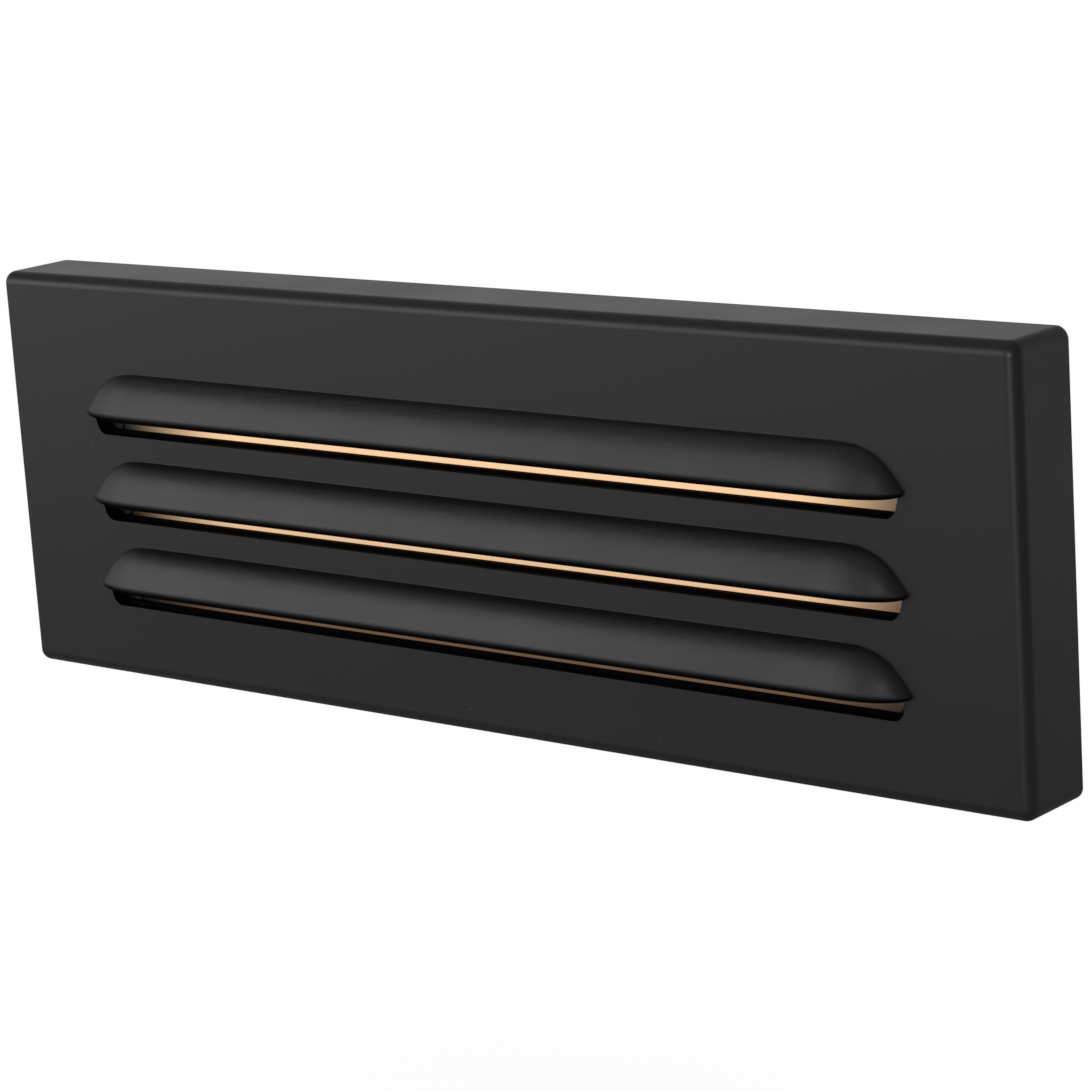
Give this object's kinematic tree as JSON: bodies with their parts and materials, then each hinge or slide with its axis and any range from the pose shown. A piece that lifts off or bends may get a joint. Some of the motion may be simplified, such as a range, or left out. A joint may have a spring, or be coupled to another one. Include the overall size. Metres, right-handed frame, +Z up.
{
  "type": "louvered step light",
  "caption": "Shallow black wall light the size of a brick face, with hooded horizontal louvers that throw warm light down on a step.",
  "frame": {"origin": "centre of the two fixing slots, on the wall plane behind the gasket", "axes": "+X right as seen from the front, +Y into the wall, +Z up; the front face looks along -Y"},
  "size_m": [0.235, 0.0448, 0.0794],
  "materials": {
    "black_coating": "satin black powder coat over cast aluminium",
    "black_steel": "black oxide steel",
    "plate_metal": "plain rolled sheet",
    "foam": "closed-cell sponge",
    "tray_metal": "plain pressed sheet",
    "pad": "grey silicone sheet",
    "white_board": "white solder mask",
    "emitter": "white package with yellow phosphor",
    "white_plastic": "moulded white plastic",
    "silicone": "translucent silicone",
    "opal_lens": "opal polycarbonate, lit warm white from behind",
    "frame_coating": "matt black powder coat over pressed sheet",
    "black_plastic": "moulded flame-resistant plastic",
    "black_rubber": "moulded rubber",
    "green_board": "green solder mask",
    "ferrite": "pressed ferrite",
    "winding_tape": "yellow winding tape",
    "copper_wire": "enamelled copper wire",
    "capacitor_sleeve": "dark shrink sleeve",
    "chip_plastic": "moulded epoxy",
    "terminal_plastic": "moulded nylon",
    "lead_black": "black insulation",
    "lead_red": "red insulation",
    "zinc_steel": "bright zinc plate",
    "brass_screw": "plain brass"
  },
  "bodies": {
    "base": {"back_plate": "plate_metal", "wall_gasket": "foam", "led_tray": "tray_metal", "thermal_pad": "pad", "led_board": "white_board", "led_emitters": "emitter", "led_connector": "white_plastic", "reflector": "white_plastic", "lens_gasket": "silicone", "lens": "opal_lens", "lens_frame": "frame_coating", "driver_case": "black_plastic", "case_gasket": "foam", "cable_bushing": "black_rubber", "driver_board": "green_board", "transformer_core": "ferrite", "transformer_coil": "winding_tape", "driver_choke": "copper_wire", "driver_capacitors": "capacitor_sleeve", "driver_chips": "chip_plastic", "supply_terminal": "terminal_plastic", "lead_grommet": "black_rubber", "led_lead_negative": "lead_black", "led_lead_positive": "lead_red", "lens_screws": "zinc_steel", "tray_screws": "zinc_steel", "board_screws": "zinc_steel", "case_screws": "zinc_steel", "driver_board_screws": "zinc_steel", "earth_screw": "brass_screw", "earth_washer": "brass_screw"},
    "cover": {"cover": "black_coating"},
    "screw_left": {"cover_screw_left": "black_steel"},
    "screw_right": {"cover_screw_right": "black_steel"}
  },
  "joints": [
    {"name": "cover_pull", "type": "slide", "parent": "base", "child": "cover", "axis": [0, -1, 0], "range_m": [0, 0.04]},
    {"name": "screw_left_turn", "type": "slide", "parent": "cover", "child": "screw_left", "axis": [0, 0, -1], "range_m": [0, 0.003]},
    {"name": "screw_right_turn", "type": "slide", "parent": "cover", "child": "screw_right", "axis": [0, 0, -1], "range_m": [0, 0.003]}
  ]
}
